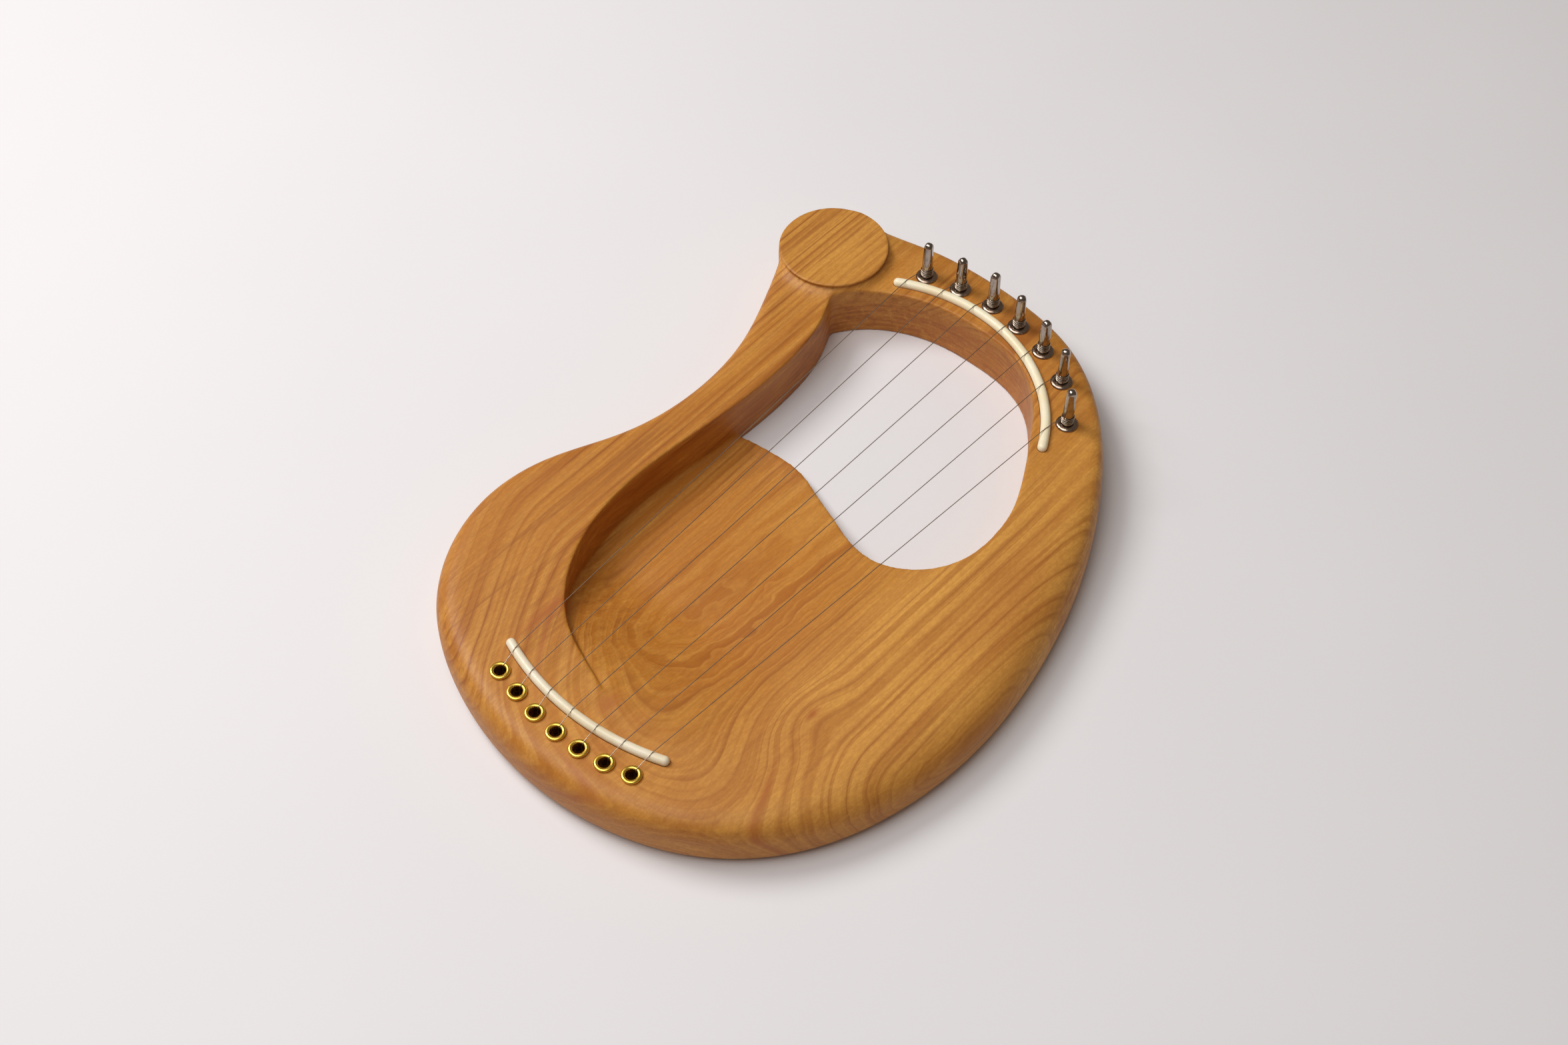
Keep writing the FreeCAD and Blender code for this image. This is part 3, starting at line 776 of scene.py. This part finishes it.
def tuning_pin(n):
    """A round shaft whose upper end is forged to a tapered square with a domed top."""
    low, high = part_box(f"tuning_pin_{n}")
    centre = centre_of(f"pin_ferrule_{n}")
    turn = math.radians(PIN_TURN[n - 1])
    top = high.z
    shaft = PIN_RADIUS
    square_from = FACE + 8.2 * MM
    rings = [square_ring(centre, r, 2, turn, z) for r, z in (
        (shaft - 0.7 * MM, low.z), (shaft - 0.2 * MM, low.z + 0.4 * MM), (shaft, low.z + 1.0 * MM),
        (shaft, FACE), (shaft, square_from))]
    for i in range(1, 7):
        t = i / 6
        half = shaft + (SQUARE_LOW - shaft) * t
        power = 2 + (SQUARENESS - 2) * t
        rings.append(square_ring(centre, half, power, turn, square_from + 2.2 * MM * t))
    dome = 2.3 * MM
    rings.append(square_ring(centre, SQUARE_HIGH, SQUARENESS, turn, top - dome))
    for i in range(1, 11):
        a = math.radians(90.0 * i / 10.5)
        power = SQUARENESS - (SQUARENESS - 2) * i / 10
        rings.append(square_ring(centre, SQUARE_HIGH * math.cos(a), power, turn,
                                 top - dome + dome * math.sin(a)))
    mesh = joined(f"pin_{n}", [loft(rings)])
    smooth(mesh, 50.0)
    finish_piece(new_object(f"tuning_pin_{n}_plated", mesh), NICKEL, "nickel", f"pin_{n}", f"tuning_pin_{n}")


COIL_LOW = FACE + 2.4 * MM  # height of the lowest turn
COIL_WIRE = 0.24 * MM  # the wound part is a little thicker than the string
COIL_RADIUS = PIN_RADIUS + COIL_WIRE
COIL_RISES = [(1.0, 0.60), (1.0, 1.05), (1.0, 1.10), (0.7, 1.00)]  # turns and their pitch in millimetres


def flat(v):
    return Vector((v.x, v.y, 0))


def crown(rod, x_mm, side):
    """The highest point of a rod where a string crosses it at this X."""
    x = x_mm * MM
    y = rod["centre"][1] + side * math.sqrt(rod["arc"] ** 2 - (x - rod["centre"][0]) ** 2)
    return Vector((x, y, ROD_TOP + WIRE))


def last_run(n):
    """Where a string leaves the upper rod, its heading from there, and where it meets its coil."""
    pin = centre_of(f"pin_ferrule_{n}")
    high = crown(NUT, NUT_CROSSING_X[n - 1], 1)
    away = flat(pin - high)
    turn = math.asin(COIL_RADIUS / away.length)
    heading = Matrix.Rotation(turn, 3, "Z") @ away.normalized()
    touch = flat(high) + heading * math.sqrt(away.length ** 2 - COIL_RADIUS ** 2)
    touch.z = COIL_LOW
    return high, heading, touch


def winding(n):
    """The string's turns round its pin: a closed lowest ring, then a helix up to the pin's hole."""
    centre = centre_of(f"pin_ferrule_{n}")
    touch = last_run(n)[2]
    steps = 40
    ring = [Vector((centre.x + COIL_RADIUS * math.cos(2 * math.pi * i / steps),
                    centre.y + COIL_RADIUS * math.sin(2 * math.pi * i / steps), COIL_LOW))
            for i in range(steps)]
    start = math.atan2(touch.y - centre.y, touch.x - centre.x)
    helix = []
    angle, z = start, COIL_LOW + 0.02 * MM
    for turns, pitch in COIL_RISES:
        count = int(steps * turns)
        for _ in range(count):
            helix.append(Vector((centre.x + COIL_RADIUS * math.cos(angle),
                                 centre.y + COIL_RADIUS * math.sin(angle), z)))
            angle -= 2 * math.pi / steps
            z += pitch * MM / steps
    inward = Vector((centre.x - helix[-1].x, centre.y - helix[-1].y, 0)).normalized()
    along = (helix[-1] - helix[-2]).normalized()
    end = helix[-1]
    helix.append(end + along * 0.3 * MM + inward * 0.10 * MM + Vector((0, 0, 0.1 * MM)))
    helix.append(end + along * 0.5 * MM + inward * 0.45 * MM + Vector((0, 0, 0.2 * MM)))
    helix.append(end + along * 0.5 * MM + inward * 1.2 * MM + Vector((0, 0, 0.25 * MM)))
    mesh = joined(f"winding_{n}", [sweep(ring, [COIL_WIRE] * len(ring), 10, closed=True),
                                   sweep(helix, [COIL_WIRE] * len(helix), 10)])
    smooth(mesh, 60.0)
    wire = new_object(f"winding_{n}_wire", mesh)
    finish_piece(wire, COILED, "steel_string", f"pin_{n}", f"string_winding_{n}")


def wrap(point, heading, slope_in, slope_out, radius):
    """Points over the top of a round edge: rising at slope_in and falling at slope_out."""
    places = []
    for i in range(7):
        a = -slope_in + (slope_in + slope_out) * i / 6
        places.append(point + heading * radius * math.sin(a) + Vector((0, 0, radius * (math.cos(a) - 1))))
    return places


def string(n):
    """One wire from its ball end, up through the eyelet and over both rods to its pin."""
    eye = centre_of(f"eyelet_{n}")
    low = crown(BRIDGE, BRIDGE_CROSSING_X[n - 1], -1)
    high, heading, touch = last_run(n)
    to_bridge = flat(low - eye).normalized()
    crest = (EYELET_BORE + LIP_EDGE) / 2
    lip = flat(eye) + to_bridge * crest
    lip.z = FACE + LIP_TOP + WIRE
    rise = math.atan2(low.z - lip.z, flat(low - lip).length)
    path = [flat(eye) + Vector((0, 0, BALL_AXIS + 1.5 * MM)),
            flat(eye) + Vector((0, 0, FACE - 9 * MM))]
    half, high_half = (LIP_EDGE - EYELET_BORE) / 2 + WIRE, LIP_TOP / 2 + WIRE
    for degrees in range(180, 95, -12):
        a = math.radians(degrees)
        path.append(flat(eye) + to_bridge * (crest + half * math.cos(a))
                    + Vector((0, 0, FACE + LIP_TOP / 2 + high_half * math.sin(a))))
    path += wrap(low, to_bridge, rise, 0.0, BRIDGE["radius"] + WIRE)

    level = touch - heading * 2.6 * MM
    fall = math.atan2(high.z - level.z, flat(level - high).length)
    path += wrap(high, heading, 0.0, fall, NUT["radius"] + WIRE)
    path += [level, touch, touch + heading * 0.1 * MM]
    mesh = joined(f"string_{n}", [sweep(path, [WIRE] * len(path), 10)])
    smooth(mesh, 60.0)
    finish_piece(new_object(f"string_{n}_wire", mesh), STEEL, "steel_string", "root", f"string_{n}")


def ball_end(n):
    """The brass spool on the string's lower end, with the wire rising from the top of its waist."""
    eye = centre_of(f"eyelet_{n}")
    half, r, waist, hole = 1.7 * MM, 2.0 * MM, 1.3 * MM, 0.6 * MM
    profile = [(hole, -half + 0.15 * MM), (hole + 0.15 * MM, -half), (r - 0.2 * MM, -half),
               (r, -half + 0.2 * MM), (r, -half + 0.55 * MM), (waist + 0.1 * MM, -half + 1.0 * MM),
               (waist, -0.35 * MM), (waist, 0.35 * MM), (waist + 0.1 * MM, half - 1.0 * MM),
               (r, half - 0.55 * MM), (r, half - 0.2 * MM), (r - 0.2 * MM, half),
               (hole + 0.15 * MM, half), (hole, half - 0.15 * MM)]
    points, faces = lathe_ring(profile, (0, 0), 40)
    place = Matrix.Translation((eye.x, eye.y, BALL_AXIS)) @ Matrix.Rotation(math.pi / 2, 4, "Y")
    points = [place @ Vector(p) for p in points]
    mesh = joined(f"ball_end_{n}", [(points, faces)])
    smooth(mesh, 35.0)
    finish_piece(new_object(f"ball_end_{n}_brass", mesh), BRASS, "brass", "root", f"ball_end_{n}")


# ---- Camera, floor and light ----

CAMERA_PLACE = (0.3505, -0.4089, 0.7226)
CAMERA_LOOKS = Vector((-0.4050, 0.4545, -0.7934)).normalized()
RIGHT = Vector((0.7466, 0.6652, 0.0))  # level directions as the camera sees them
AHEAD = Vector((-0.6652, 0.7466, 0.0))


def camera():
    """Stands in front and to the right of the foot, looking down at the face."""
    right = (RIGHT - CAMERA_LOOKS * RIGHT.dot(CAMERA_LOOKS)).normalized()
    up = right.cross(CAMERA_LOOKS)
    data = bpy.data.cameras.new("camera")
    data.lens = 47.45
    data.sensor_width = 36.0
    data.clip_start = 0.01
    eye = bpy.data.objects.new("camera", data)
    bpy.context.scene.collection.objects.link(eye)
    turn = Matrix((right, up, -CAMERA_LOOKS)).transposed().to_4x4()
    eye.matrix_world = Matrix.Translation(CAMERA_PLACE) @ turn
    bpy.context.scene.camera = eye


def floor():
    """A plain pale sheet, barely uneven in tone."""
    size = 12.0
    mesh = mesh_of("floor", [(-size, -size, 0), (size, -size, 0), (size, size, 0), (-size, size, 0)],
                   [(0, 1, 2, 3)])
    n = Nodes("pale_floor")
    tone = n.noise(n.place, 6.0, 2.0, 0.5)[0]
    colour = n.mix(tone, (0.80, 0.785, 0.795), (0.84, 0.825, 0.835))
    n.set(Base_Color=colour, Roughness=n.range(tone, 0.0, 1.0, 0.75, 0.9))
    mesh.materials.append(n.material)
    new_object("floor", mesh)


def area_light(name, place, target, size, power, colour):
    data = bpy.data.lights.new(name, "AREA")
    data.shape = "DISK"
    data.size = size
    data.energy = power
    data.color = colour
    lamp = bpy.data.objects.new(name, data)
    bpy.context.scene.collection.objects.link(lamp)
    lamp.location = place
    lamp.rotation_euler = (Vector(target) - Vector(place)).to_track_quat("-Z", "Y").to_euler()


def lighting():
    """A soft key light on the left, a larger one above, and a warm fill from all round."""
    key = RIGHT * -0.95 + AHEAD * 0.50 + Vector((0, 0, 1.30))
    above = RIGHT * -0.55 - AHEAD * 0.35 + Vector((0, 0, 1.90))
    area_light("key", key, (0, 0, 0), 0.8, 16, (1.0, 0.985, 0.98))
    area_light("above", above, (0, 0, 0), 1.5, 18, (0.98, 0.99, 1.0))
    world = bpy.data.worlds.new("studio")
    world.use_nodes = True
    background = world.node_tree.nodes["Background"]
    background.inputs["Color"].default_value = (1.0, 0.86, 0.74, 1.0)
    background.inputs["Strength"].default_value = 0.16
    bpy.context.scene.world = world
    bpy.context.scene.view_settings.view_transform = "Standard"


camera()
floor()
lighting()
carved_body()
rods()
for number in STRINGS:
    ferrule(number)
    eyelet(number)
    tuning_pin(number)
    winding(number)
    string(number)
    ball_end(number)
